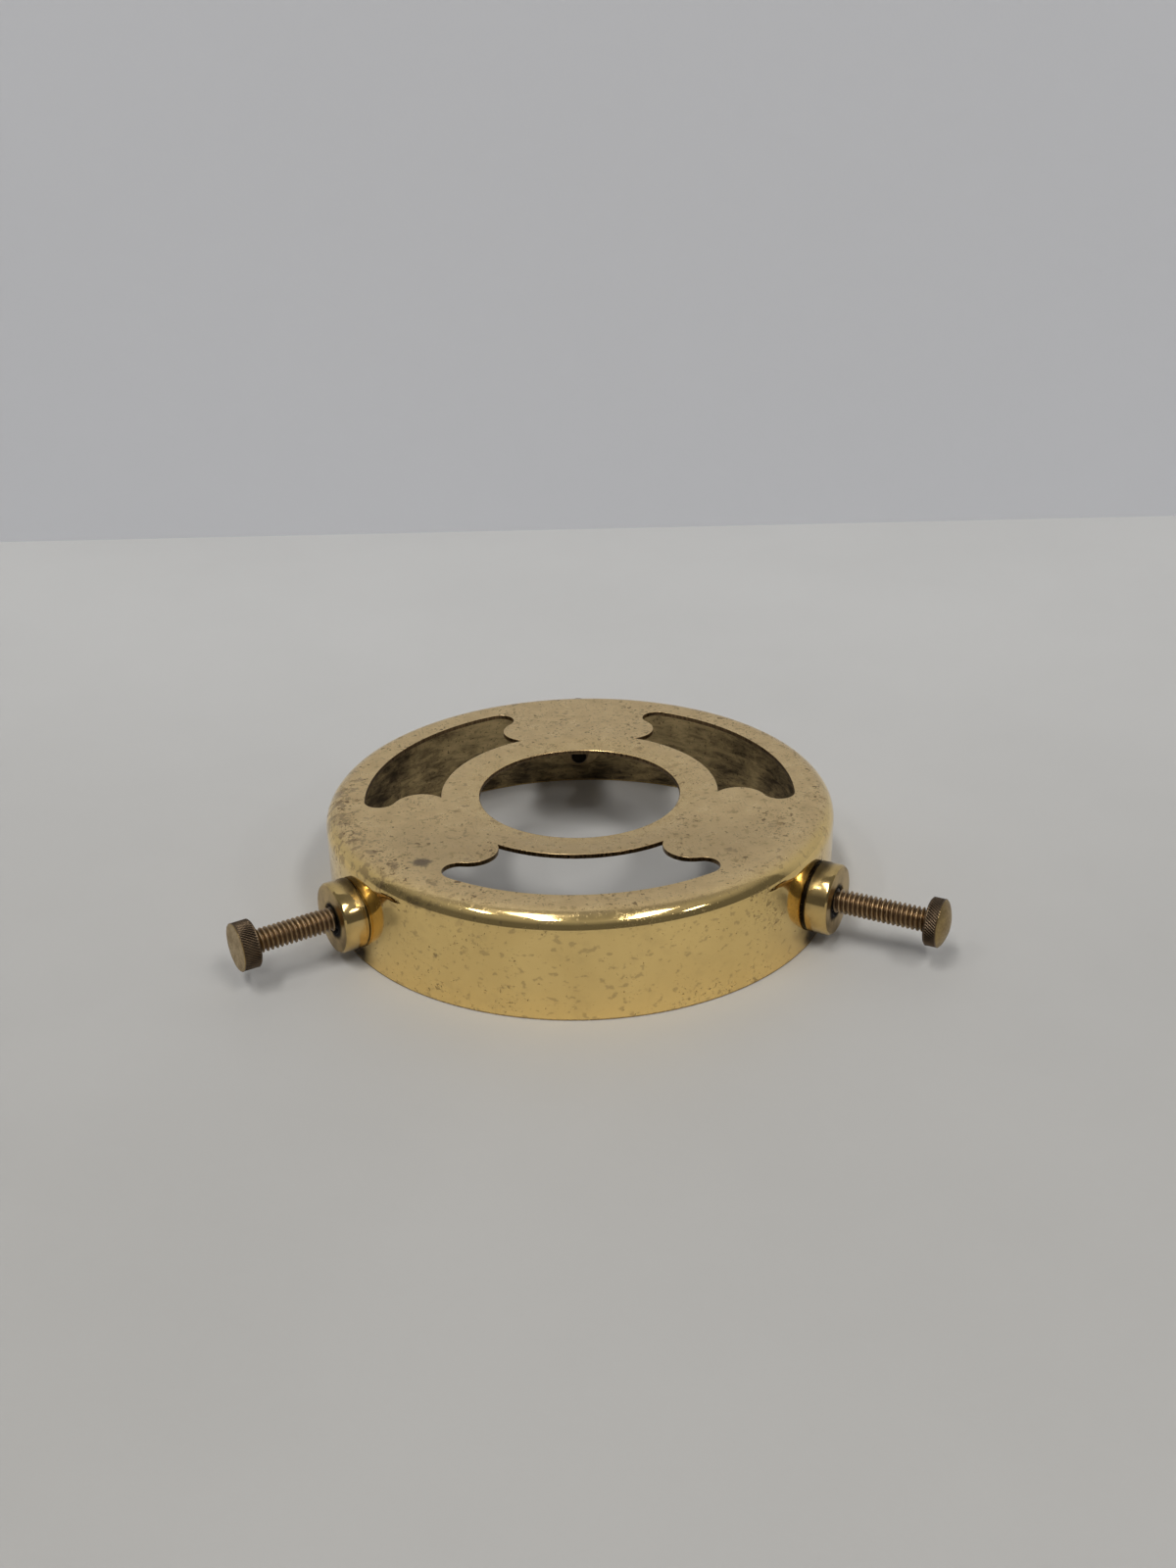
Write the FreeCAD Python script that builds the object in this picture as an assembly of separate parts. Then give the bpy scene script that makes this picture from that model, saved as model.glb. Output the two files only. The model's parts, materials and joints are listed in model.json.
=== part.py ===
"""Shade gallery: a pressed brass cup with three riveted bosses and three knurled thumbscrews.

Frame, in millimetres: origin at the centre of the lampholder hole on the top face, +Z up, so the
skirt hangs to z = -CUP_HEIGHT. The rear screw points along +Y. The two front ones are a degree or two
off true thirds of a turn, as they were drilled.

Each thumbscrew is one turned piece in reality. It is split here across its axis, because a body takes
one joint: the plain turned point carries the screw's travel along its axis, and the threaded shank
with its head turns on that point. The travel is the thread's pitch for each turn.
"""
import FreeCAD, Part
import math
import os

Vector = FreeCAD.Vector
X_AXIS, Y_AXIS, Z_AXIS = Vector(1, 0, 0), Vector(0, 1, 0), Vector(0, 0, 1)

# Cup
CUP_RADIUS = 43.0            # outside of the skirt
CUP_HEIGHT = 18.2
SHEET = 0.8
SHOULDER_RADIUS = 3.3        # outside of the bend between top plate and skirt
LAMPHOLDER_HOLE_RADIUS = 17.0
RIM_ROUNDING = 0.2           # the trimmed lower edge, broken on both sides

# Windows: one outline, used three times. Polar places are a radius and an angle from its centre line.
WINDOW_AZIMUTHS = (30.0, 150.0, 270.0)
WINDOW_INNER_RADIUS = 23.5
WINDOW_OUTER_RADIUS = 36.4
LOBE_CENTRE = (27.25, 40.3)  # the plate's round lobe that pinches each end of the window
LOBE_RADIUS = 4.6
TIP_RADIUS = 2.65            # the rounded end of the window between lobe and outer edge

# Bosses
SCREW_AZIMUTHS = {"left": 211.0, "right": 332.0, "back": 90.0}
AXIS_ABOVE_RIM = 7.9
BOSS_RADIUS = 5.85
BOSS_FACE = 46.7             # the outer face's distance from the cup's axis
BOSS_CHAMFER = 0.35
SPIGOT_RADIUS = 3.2          # goes through the skirt
RIVET_RADIUS = 4.4           # spigot end, spread inside the skirt
RIVET_FACE = CUP_RADIUS - SHEET - 0.8
RIVET_ROUNDING = 0.3
MOUTH_RADIUS = 2.6           # countersunk mouth of the tapped hole

# Thumbscrews: 5/32 in Whitworth, 32 threads to the inch, 55 degree thread form
PITCH = 25.4 / 32
THREAD_RADIUS = 25.4 * 5 / 64
THREAD_DEPTH = 0.6403 * PITCH
CREST_WIDTH = PITCH / 6
FLANK_HALF_ANGLE = 27.5
THREAD_CLEARANCE = 0.08      # radial, between screw and tapped hole
SHANK_LENGTH = 17.5          # under the head, to the end of the point
POINT_LENGTH = 1.2
POINT_RADIUS = 1.4
POINT_CHAMFER = 0.35
HEAD_RADIUS = 3.93
HEAD_THICKNESS = 3.0
HEAD_CHAMFER = 0.3
HEAD_FACES = {"left": 62.9, "right": 64.75, "back": 56.2}  # outer face's distance from the cup's axis


def export(shape, name):
    if not shape.isValid():
        raise ValueError(name + " is not a valid shape")
    shape.exportStep("parts/" + name + ".step")
    print("%-18s solids %d  volume %9.3f mm3" % (name, len(shape.Solids), shape.Volume))


def polar(radius, degrees):
    """A point in the top plane, degrees counted clockwise from +Y."""
    angle = math.radians(degrees)
    return Vector(radius * math.sin(angle), radius * math.cos(angle), 0)


def turned(points):
    """A solid of revolution about Z from (radius, z) points, given in order around its section."""
    corners = [Vector(r, 0, z) for r, z in points]
    return Part.Face(Part.makePolygon(corners + corners[:1])).revolve(Vector(), Z_AXIS, 360)


def arc_edge(centre, radius, start, end, towards):
    """The arc about a centre from start to end that passes nearest to the point towards."""
    middle = centre + (towards - centre).normalize() * radius
    return Part.Arc(start, middle, end).toShape()


# ---- cup -----------------------------------------------------------------------------------------
def cup_section(inset):
    """Half section of the cup's skin, inset from its outside, as points and arc for the wire."""
    radius, bend = CUP_RADIUS - inset, SHOULDER_RADIUS - inset
    centre = Vector(CUP_RADIUS - SHOULDER_RADIUS, 0, -SHOULDER_RADIUS)
    flat_end = centre + Vector(0, 0, bend)
    skirt_top = centre + Vector(bend, 0, 0)
    middle = centre + Vector(bend, 0, bend) * math.sqrt(0.5)
    return flat_end, middle, skirt_top, Vector(radius, 0, -CUP_HEIGHT)


def spun_cup():
    outer_flat, outer_bend, outer_skirt, outer_rim = cup_section(0.0)
    inner_flat, inner_bend, inner_skirt, inner_rim = cup_section(SHEET)
    lift, back = Vector(0, 0, RIM_ROUNDING), Vector(RIM_ROUNDING, 0, 0)
    hole_top = Vector(LAMPHOLDER_HOLE_RADIUS, 0, 0)
    hole_bottom = Vector(LAMPHOLDER_HOLE_RADIUS, 0, -SHEET)
    edges = [
        Part.makeLine(hole_top, outer_flat),
        Part.Arc(outer_flat, outer_bend, outer_skirt).toShape(),
        Part.makeLine(outer_skirt, outer_rim + lift),
        Part.makeLine(outer_rim + lift, outer_rim - back),
        Part.makeLine(outer_rim - back, inner_rim + back),
        Part.makeLine(inner_rim + back, inner_rim + lift),
        Part.makeLine(inner_rim + lift, inner_skirt),
        Part.Arc(inner_skirt, inner_bend, inner_flat).toShape(),
        Part.makeLine(inner_flat, hole_bottom),
        Part.makeLine(hole_bottom, hole_top),
    ]
    return Part.Face(Part.Wire(edges)).revolve(Vector(), Z_AXIS, 360)


def window_tip_angle():
    """Angle of the tip's centre, which touches the lobe from outside and the outer edge from inside."""
    reach = WINDOW_OUTER_RADIUS - TIP_RADIUS
    lobe_reach, lobe_angle = LOBE_CENTRE
    apart = LOBE_RADIUS + TIP_RADIUS
    cosine = (reach ** 2 + lobe_reach ** 2 - apart ** 2) / (2 * reach * lobe_reach)
    return lobe_angle - math.degrees(math.acos(cosine))


def window_cusp_angle():
    """Angle of the sharp corner where the lobe meets the inner edge."""
    lobe_reach, lobe_angle = LOBE_CENTRE
    cosine = (WINDOW_INNER_RADIUS ** 2 + lobe_reach ** 2 - LOBE_RADIUS ** 2) / (
        2 * WINDOW_INNER_RADIUS * lobe_reach)
    return lobe_angle - math.degrees(math.acos(cosine))


def window_end(side):
    """Cusp, lobe and tip arcs at one end, side being +1 or -1, and the end of the outer edge."""
    lobe = polar(LOBE_CENTRE[0], side * LOBE_CENTRE[1])
    tip = polar(WINDOW_OUTER_RADIUS - TIP_RADIUS, side * window_tip_angle())
    cusp = polar(WINDOW_INNER_RADIUS, side * window_cusp_angle())
    join = lobe + (tip - lobe).normalize() * LOBE_RADIUS
    outer = polar(WINDOW_OUTER_RADIUS, side * window_tip_angle())
    lobe_arc = arc_edge(lobe, LOBE_RADIUS, cusp, join, (cusp + join) * 0.5)
    outward = (join + outer) * 0.5 + polar(TIP_RADIUS, side * 90.0) * 4
    tip_arc = arc_edge(tip, TIP_RADIUS, join, outer, outward)
    return cusp, outer, [lobe_arc, tip_arc]


def window_cutter():
    right_cusp, right_outer, right_arcs = window_end(+1)
    left_cusp, left_outer, left_arcs = window_end(-1)
    inner = Part.Arc(left_cusp, polar(WINDOW_INNER_RADIUS, 0), right_cusp).toShape()
    outer = Part.Arc(right_outer, polar(WINDOW_OUTER_RADIUS, 0), left_outer).toShape()
    loop = Part.Wire(Part.__sortEdges__([inner, outer] + right_arcs + left_arcs))
    cutter = Part.Face(loop).extrude(Vector(0, 0, 2 * SHEET))
    cutter.translate(Vector(0, 0, -1.5 * SHEET))
    return cutter


def gallery_cup():
    cup = spun_cup()
    for azimuth in WINDOW_AZIMUTHS:
        cutter = window_cutter()
        cutter.rotate(Vector(), Z_AXIS, azimuth - 90.0)
        cup = cup.cut(cutter)
    for azimuth in SCREW_AZIMUTHS.values():
        hole = Part.makeCylinder(SPIGOT_RADIUS, 4 * SHEET, Vector(0, 0, CUP_RADIUS - 3 * SHEET))
        cup = cup.cut(aimed(hole, azimuth))
    return cup


# ---- pieces on the screw axes --------------------------------------------------------------------
def aimed(shape, azimuth):
    """Turns a shape made along +Z, z being the distance from the cup's axis, onto a screw axis."""
    placed = shape.copy()
    placed.rotate(Vector(), Y_AXIS, 90)
    placed.rotate(Vector(), Z_AXIS, azimuth)
    placed.translate(Vector(0, 0, AXIS_ABOVE_RIM - CUP_HEIGHT))
    return placed


def screwed_out(shape, travel):
    """Moves a shape made at z = 0 along the one helix that every screw and tapped hole shares."""
    moved = shape.copy()
    moved.rotate(Vector(), Z_AXIS, 360 * travel / PITCH)
    moved.translate(Vector(0, 0, travel))
    return moved


def helical_ridge(length, allowance):
    """The thread's ridge from z = 0, made a little deeper than the thread so that it joins its core."""
    root = THREAD_RADIUS - THREAD_DEPTH + allowance
    crest = THREAD_RADIUS + allowance
    embed = 0.3
    cone_angle = 0
    half_crest = CREST_WIDTH / 2
    half_root = half_crest + THREAD_DEPTH * math.tan(math.radians(FLANK_HALF_ANGLE))
    corners = [Vector(root - embed, 0, -half_root), Vector(root, 0, -half_root),
               Vector(crest, 0, -half_crest), Vector(crest, 0, half_crest),
               Vector(root, 0, half_root), Vector(root - embed, 0, half_root)]
    sweep = Part.BRepOffsetAPI.MakePipeShell(Part.makeLongHelix(PITCH, length, root, cone_angle))
    sweep.setBiNormalMode(Z_AXIS)
    sweep.add(Part.makePolygon(corners + corners[:1]))
    sweep.build()
    sweep.makeSolid()
    return sweep.shape()


def threaded_rod(length, allowance):
    """A full thread from z = 0 to length, cut square at both ends."""
    core = Part.makeCylinder(THREAD_RADIUS - THREAD_DEPTH + allowance, length)
    envelope = Part.makeCylinder(THREAD_RADIUS + allowance + 1, length)
    ridge = screwed_out(helical_ridge(length + 2 * PITCH, allowance), -PITCH)
    seam_clear_of_ridge = 137
    for cylinder in (core, envelope):
        cylinder.rotate(Vector(), Z_AXIS, seam_clear_of_ridge)
    rod = core.fuse(ridge).common(envelope)
    if len(rod.Solids) != 1:
        raise ValueError("the thread of length %.3f did not join its core" % length)
    return rod


def boss():
    """Barrel, spigot and rivet head in one piece, tapped through."""
    barrel = turned([(0, CUP_RADIUS), (BOSS_RADIUS, CUP_RADIUS), (BOSS_RADIUS, BOSS_FACE - BOSS_CHAMFER),
                     (BOSS_RADIUS - BOSS_CHAMFER, BOSS_FACE), (0, BOSS_FACE)])
    spigot = Part.makeCylinder(SPIGOT_RADIUS, CUP_RADIUS - RIVET_FACE, Vector(0, 0, RIVET_FACE))
    rivet = turned([(0, RIVET_FACE), (RIVET_RADIUS - RIVET_ROUNDING, RIVET_FACE),
                    (RIVET_RADIUS, RIVET_FACE + RIVET_ROUNDING), (RIVET_RADIUS, CUP_RADIUS),
                    (0, CUP_RADIUS)])
    inside = Part.makeCylinder(CUP_RADIUS - SHEET, 4 * RIVET_RADIUS, Vector(2 * RIVET_RADIUS, 0, 0),
                               Vector(-1, 0, 0))
    body = barrel.fuse(spigot).fuse(rivet.common(inside)).removeSplitter()
    depth = BOSS_FACE - RIVET_FACE
    tap_length = math.ceil(depth / PITCH + 1) * PITCH
    tap = screwed_out(threaded_rod(tap_length, THREAD_CLEARANCE), RIVET_FACE - (tap_length - depth) / 2)
    countersink = turned([(0, BOSS_FACE), (MOUTH_RADIUS, BOSS_FACE), (0, BOSS_FACE - MOUTH_RADIUS)])
    return body.cut(tap).cut(countersink)


def thumbscrew():
    """Knurled head and threaded shank, from the end of the plain point at z = 0."""
    under, face = SHANK_LENGTH, SHANK_LENGTH + HEAD_THICKNESS
    head = turned([(0, under), (HEAD_RADIUS - HEAD_CHAMFER, under), (HEAD_RADIUS, under + HEAD_CHAMFER),
                   (HEAD_RADIUS, face - HEAD_CHAMFER), (HEAD_RADIUS - HEAD_CHAMFER, face), (0, face)])
    shank = screwed_out(threaded_rod(SHANK_LENGTH - POINT_LENGTH, 0.0), POINT_LENGTH)
    return head.fuse(shank)


def screw_point():
    """The plain turned end of the shank, from z = 0."""
    return turned([(0, 0), (POINT_RADIUS - POINT_CHAMFER, 0), (POINT_RADIUS, POINT_CHAMFER),
                   (POINT_RADIUS, POINT_LENGTH), (0, POINT_LENGTH)])


def main():
    os.makedirs("parts", exist_ok=True)
    export(gallery_cup(), "gallery_cup")
    on_each_axis = {"boss": boss(), "thumbscrew": thumbscrew(), "screw_point": screw_point()}
    for side, azimuth in SCREW_AZIMUTHS.items():
        reach = HEAD_FACES[side] - HEAD_THICKNESS - SHANK_LENGTH
        for piece, shape in on_each_axis.items():
            out = shape if piece == "boss" else screwed_out(shape, reach)
            export(aimed(out, azimuth), side + "_" + piece)


main()
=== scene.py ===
"""Looks of the brass shade gallery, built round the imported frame.

Lengths in this script are millimetres in the row frame, and MM turns them into metres where a mesh is
written. The pieces on a screw axis are made about their own Z, which points away from the cup.
"""

import json
import math

import bmesh
import bpy
import numpy as np
from mathutils import Matrix, Vector
from mathutils.geometry import delaunay_2d_cdt


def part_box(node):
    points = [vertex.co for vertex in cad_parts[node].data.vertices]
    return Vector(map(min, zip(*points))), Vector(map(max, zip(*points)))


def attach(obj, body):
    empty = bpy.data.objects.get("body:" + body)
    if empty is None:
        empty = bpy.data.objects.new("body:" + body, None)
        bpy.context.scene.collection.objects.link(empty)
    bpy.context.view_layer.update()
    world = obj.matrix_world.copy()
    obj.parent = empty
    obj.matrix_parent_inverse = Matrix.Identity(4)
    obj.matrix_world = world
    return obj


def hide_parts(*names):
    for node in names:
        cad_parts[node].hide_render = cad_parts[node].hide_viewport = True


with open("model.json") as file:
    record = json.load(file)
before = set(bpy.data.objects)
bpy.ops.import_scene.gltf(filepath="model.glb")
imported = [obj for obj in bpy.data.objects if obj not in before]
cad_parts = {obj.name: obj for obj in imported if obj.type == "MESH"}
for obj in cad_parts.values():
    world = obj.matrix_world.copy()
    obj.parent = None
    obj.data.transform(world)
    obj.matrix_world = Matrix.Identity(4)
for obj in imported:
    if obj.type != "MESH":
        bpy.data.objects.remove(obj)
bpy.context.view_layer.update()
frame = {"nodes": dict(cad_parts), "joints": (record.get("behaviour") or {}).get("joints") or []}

MM = 0.001
SIDES = ("left", "right", "back")

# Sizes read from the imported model
cup_low, cup_high = (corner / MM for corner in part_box("gallery_cup"))
CUP_RADIUS = cup_high.x
RIM_Z = cup_low.z


def side_axis(side):
    """Unit vector away from the cup along a screw."""
    joint = next(j for j in frame["joints"] if j["name"] == side + "_screw_travel")
    return Vector(joint["axis"])


def reach(node, axis):
    """Nearest and farthest distance of a node from the cup's axis, measured along a screw."""
    along = [vertex.co.dot(axis) / MM for vertex in frame["nodes"][node].data.vertices]
    return min(along), max(along)


boss_low, boss_high = (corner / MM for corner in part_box("back_boss"))
AXIS_Z = (boss_low.z + boss_high.z) / 2
BOSS_RADIUS = (boss_high.z - boss_low.z) / 2
RIVET_FACE, BOSS_FACE = reach("back_boss", side_axis("back"))
head_low, head_high = (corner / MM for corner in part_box("back_thumbscrew"))
HEAD_RADIUS = (head_high.z - head_low.z) / 2

# Cup
SHEET = 0.8
SHOULDER = 3.3
FLAT_END = CUP_RADIUS - SHOULDER
INNER_RADIUS = CUP_RADIUS - SHEET
HOLE_RADIUS = 17.0
COLLAR_DRAW = 0.3        # how far the collar round the hole is drawn down
RIM_ROUND = 0.2
SPIGOT_RADIUS = 3.2

# Windows, as in the part's source: angles from each window's centre line
WINDOW_AZIMUTHS = (30.0, 150.0, 270.0)
WINDOW_INNER, WINDOW_OUTER = 23.5, 36.4
LOBE_REACH, LOBE_ANGLE, LOBE_RADIUS = 27.25, 40.3, 4.6
TIP_RADIUS = 2.65

# Screw axes
RIVET_RADIUS = 4.4
MOUTH_RADIUS = 2.6
BORE_RADIUS = 2.06
PITCH = 25.4 / 32
CREST_RADIUS = 25.4 * 5 / 64
ROOT_RADIUS = CREST_RADIUS - 0.6403 * PITCH
SHANK_LENGTH = 17.5
POINT_LENGTH = 1.2
POINT_RADIUS = 1.4
HEAD_THICKNESS = 3.0
KNURL_TEETH = 52
KNURL_DEPTH = 0.26
HEAD_BULGE = 0.4         # share of a head's dome that stands beyond its nominal thickness

# Fineness of the meshes
COLUMNS = 480            # round the cup
HOLE_COLUMNS = 240
BOSS_COLUMNS = 128
THREAD_COLUMNS = 48
POINT_COLUMNS = 72
PLATE_STEP = 1.3
WALL_STEP = 0.7
HOLD = 0.06              # flat strip kept beside a rounded edge
WELD = 0.0005            # vertices nearer than this are one


# ---- meshes ----------------------------------------------------------------------------------------
def finish_object(name, mesh_data, materials, body, nodes, sharp, matrix=None):
    """Turns a bmesh in millimetres into a piece on a body that stands for CAD nodes.

    Edges that turn by more than sharp degrees are shaded as sharp.
    """
    bmesh.ops.remove_doubles(mesh_data, verts=mesh_data.verts, dist=WELD)
    bmesh.ops.recalc_face_normals(mesh_data, faces=mesh_data.faces)
    bmesh.ops.scale(mesh_data, vec=(MM, MM, MM), verts=mesh_data.verts)
    mesh = bpy.data.meshes.new(name)
    mesh_data.to_mesh(mesh)
    mesh_data.free()
    mesh.shade_smooth()
    mesh.set_sharp_from_angle(angle=math.radians(sharp))
    for material in materials:
        mesh.materials.append(material)
    piece = bpy.data.objects.new(name, mesh)
    bpy.context.scene.collection.objects.link(piece)
    if matrix is not None:
        piece.matrix_world = matrix
    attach(piece, body)
    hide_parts(*nodes)


def arc(centre, start, end, towards, steps):
    """Points of the arc from start to end about centre, on the side of the point towards."""
    def angle(point):
        return math.atan2(point[1] - centre[1], point[0] - centre[0])
    radius = math.dist(centre, start)
    sweep = (angle(end) - angle(start)) % math.tau
    if (angle(towards) - angle(start)) % math.tau > sweep:
        sweep -= math.tau
    return [(centre[0] + radius * math.cos(angle(start) + sweep * k / steps),
             centre[1] + radius * math.sin(angle(start) + sweep * k / steps)) for k in range(steps)]


def window_outline(azimuth, grow):
    """Closed outline of a window, grown into the plate all round."""
    def polar(radius, degrees):
        angle = math.radians(azimuth - degrees)
        return radius * math.cos(angle), radius * math.sin(angle)

    def blend(a, b, share):
        return a[0] + (b[0] - a[0]) * share, a[1] + (b[1] - a[1]) * share

    lobe_steps, tip_steps = 16, 14
    inner_steps, outer_steps = 56, 76
    tip_reach = WINDOW_OUTER - TIP_RADIUS
    apart = LOBE_RADIUS + TIP_RADIUS
    tip_angle = LOBE_ANGLE - math.degrees(math.acos(
        (tip_reach ** 2 + LOBE_REACH ** 2 - apart ** 2) / (2 * tip_reach * LOBE_REACH)))
    inner, lobe_radius = WINDOW_INNER - grow, LOBE_RADIUS - grow
    cusp_angle = LOBE_ANGLE - math.degrees(math.acos(
        (inner ** 2 + LOBE_REACH ** 2 - lobe_radius ** 2) / (2 * inner * LOBE_REACH)))
    outer = WINDOW_OUTER + grow

    def end(side):
        lobe, tip = polar(LOBE_REACH, side * LOBE_ANGLE), polar(tip_reach, side * tip_angle)
        cusp, corner = polar(inner, side * cusp_angle), polar(outer, side * tip_angle)
        join = blend(lobe, tip, lobe_radius / apart)
        beyond = polar(tip_reach - 1, side * (tip_angle + 8))
        lobe_edge = arc(lobe, cusp, join, blend(cusp, join, 0.5), lobe_steps)
        return cusp, corner, lobe_edge + arc(tip, join, corner, beyond, tip_steps)

    right_cusp, right_corner, right = end(+1)
    left_cusp, left_corner, left = end(-1)
    origin = (0.0, 0.0)
    inner_edge = arc(origin, left_cusp, right_cusp, polar(inner, 0), inner_steps)
    outer_edge = arc(origin, right_corner, left_corner, polar(outer, 0), outer_steps)
    left_back = [left_corner] + left[:0:-1]
    return inner_edge + right + outer_edge + left_back


def circle(radius, count, start=0.0):
    """Points round the origin, the first at the angle start."""
    return [(radius * math.cos(start + math.tau * k / count),
             radius * math.sin(start + math.tau * k / count)) for k in range(count)]


def hole_outline(grow):
    """Outline of the lampholder's hole, grown into the plate all round."""
    return circle(HOLE_RADIUS + grow, HOLE_COLUMNS)


def inside(points, loop):
    """Which points lie inside a closed polygon."""
    x, y = points[:, 0, None], points[:, 1, None]
    a = np.array(loop)
    b = np.roll(a, -1, axis=0)
    crosses = (a[:, 1] > y) != (b[:, 1] > y)
    with np.errstate(divide="ignore", invalid="ignore"):
        at = a[:, 0] + (y - a[:, 1]) * (b[:, 0] - a[:, 0]) / (b[:, 1] - a[:, 1])
    return (crosses & (x < at)).sum(1) % 2 == 1


def fill(outer, holes, interior, clearance):
    """Triangles between an outer loop and holes, with extra points that keep clear of the loops."""
    loops = [outer] + holes
    edge_points = np.array([p for loop in loops for p in loop])
    interior = np.array(interior)
    keep = inside(interior, outer)
    for hole in holes:
        keep &= ~inside(interior, hole)
    interior = interior[keep]
    near = np.array([np.min(np.sum((edge_points - p) ** 2, axis=1)) for p in interior])
    interior = interior[near > clearance ** 2]
    points = [Vector(p) for p in edge_points] + [Vector(p) for p in interior]
    edges, first = [], 0
    for loop in loops:
        edges += [(first + k, first + (k + 1) % len(loop)) for k in range(len(loop))]
        first += len(loop)
    flat, _, triangles, origin_ids, _, _ = delaunay_2d_cdt(points, edges, [], 0, 1e-7)
    source = np.vstack([edge_points, interior])
    places = np.array([source[ids[0]] if ids else tuple(flat[k]) for k, ids in enumerate(origin_ids)])
    triangles = np.array(triangles)
    middles = places[triangles].mean(axis=1)
    keep = inside(middles, outer)
    for hole in holes:
        keep &= ~inside(middles, hole)
    return places, triangles[keep]


class Skin:
    """Collects faces in millimetres, then makes one bmesh of them."""

    def __init__(self):
        self.points, self.faces, self.finishes = [], [], []

    def add(self, points):
        first = len(self.points)
        self.points += points
        return list(range(first, first + len(points)))

    def face(self, corners, finish):
        self.faces.append(corners)
        self.finishes.append(finish)

    def band(self, lower, upper, finish):
        """Quads between two closed rows of vertices of the same length."""
        for k in range(len(lower)):
            n = (k + 1) % len(lower)
            self.face((lower[k], lower[n], upper[n], upper[k]), finish)

    def sheet(self, places, triangles, to_space, finish):
        """Flat triangles, put in their place by to_space."""
        ids = self.add([to_space(*p) for p in places])
        for triangle in triangles:
            self.face(tuple(ids[k] for k in triangle), finish)

    def to_bmesh(self, bend):
        """One bmesh of all faces, with every point moved by bend."""
        data = bmesh.new()
        vertices = [data.verts.new(bend(*p)) for p in self.points]
        for corners, finish in zip(self.faces, self.finishes):
            data.faces.new([vertices[k] for k in corners]).material_index = finish
        return data


OUTSIDE, INSIDE, EDGE = 0, 1, 2


def punched_edge(skin, outline, top_round, bottom_round):
    """Rounded wall of a punched opening. outline(grow) gives its loop. Returns the two flat loops."""
    top_steps, bottom_steps = 4, 3
    polished_rows = 3
    rows = [(top_round + HOLD, 0.0)]
    for k in range(top_steps + 1):
        turn = math.pi / 2 * k / top_steps
        rows.append((top_round * (1 - math.sin(turn)), -top_round * (1 - math.cos(turn))))
    rows.append((0.0, -SHEET / 2))
    for k in range(bottom_steps + 1):
        turn = math.pi / 2 * k / bottom_steps
        rows.append((bottom_round * (1 - math.cos(turn)), -SHEET + bottom_round * (1 - math.sin(turn))))
    rows.append((bottom_round + HOLD, -SHEET))
    ids = [skin.add([(x, y, z) for x, y in outline(grow)]) for grow, z in rows]
    finishes = [OUTSIDE] * polished_rows + [EDGE] * (len(ids) - polished_rows - 2) + [INSIDE]
    for upper, lower, finish in zip(ids, ids[1:], finishes):
        skin.band(upper, lower, finish)
    return outline(rows[0][0]), outline(rows[-1][0])


def plate_points():
    """Rings of points over the flat plate, each started at its own angle so that no rows line up."""
    ring_gap = 0.87 * PLATE_STEP
    points = []
    radius = HOLE_RADIUS
    while radius < FLAT_END:
        points += circle(radius, round(math.tau * radius / PLATE_STEP), radius)
        radius += ring_gap
    return points


def wall_hole(azimuth, radius):
    """A spigot hole unrolled onto a wall of that radius, as (distance round, z)."""
    count = 64
    return [(radius * (azimuth + math.asin(SPIGOT_RADIUS * math.cos(math.tau * k / count) / radius)),
             AXIS_Z + SPIGOT_RADIUS * math.sin(math.tau * k / count)) for k in range(count)]


def cup_wall(skin, radius, low, high, finish):
    """The skirt's wall with its three spigot holes. Returns the rims of the holes."""
    clearance = 0.25
    step = math.tau / COLUMNS
    rows = round((high - low) / WALL_STEP)
    heights = [low + (high - low) * row / rows for row in range(1, rows)]
    outer = [(radius * k * step, low) for k in range(COLUMNS)] + [(radius * math.tau, low)]
    outer += [(radius * math.tau, z) for z in heights]
    outer += [(radius * k * step, high) for k in range(COLUMNS, -1, -1)]
    outer += [(0.0, z) for z in reversed(heights)]
    interior = [(radius * k * step, z) for z in heights for k in range(1, COLUMNS)]
    azimuths = [math.atan2(side_axis(s).y, side_axis(s).x) % math.tau for s in SIDES]
    holes = [wall_hole(azimuth, radius) for azimuth in azimuths]
    places, triangles = fill(outer, holes, interior, clearance)

    def roll(distance, z):
        angle = distance / radius
        return radius * math.cos(angle), radius * math.sin(angle), z
    skin.sheet(places, triangles, roll, finish)
    return [skin.add([roll(*p) for p in hole]) for hole in holes]


def revolved_band(skin, section, finish):
    """Part of the cup's wall, from a section of (radius, z) points."""
    rows = [skin.add([(x, y, z) for x, y in circle(radius, COLUMNS)]) for radius, z in section]
    for lower, upper in zip(rows, rows[1:]):
        skin.band(lower, upper, finish)


def quarter(centre_r, centre_z, radius, start, end, steps):
    """Arc of a section, angles in degrees from outward to up."""
    return [(centre_r + radius * math.cos(math.radians(start + (end - start) * k / steps)),
             centre_z + radius * math.sin(math.radians(start + (end - start) * k / steps)))
            for k in range(steps + 1)]


def settle(x, y, z):
    """The pressed cup's small departures from a true form: drawn collar, slightly wavy skirt."""
    radius = math.hypot(x, y)
    angle = math.atan2(y, x)
    collar_end = WINDOW_INNER - 0.5
    share = min(max((collar_end - radius) / (collar_end - HOLE_RADIUS), 0.0), 1.0)
    drop = COLLAR_DRAW * share * share * (3 - 2 * share)
    wave = 0.018 * math.sin(3 * angle + 0.6) + 0.012 * math.sin(7 * angle + 2.0 + 0.15 * z)
    depth = min(max(-z / SHOULDER, 0.0), 1.0)
    swell = wave * depth if radius > FLAT_END else 0.0
    ripple = 0.012 * math.sin(0.21 * x + 0.5) * math.sin(0.17 * y + 1.1) if z > -SHOULDER else 0.0
    scale = (radius + swell) / radius
    return x * scale, y * scale, z - drop + ripple * (1 - depth)


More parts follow.
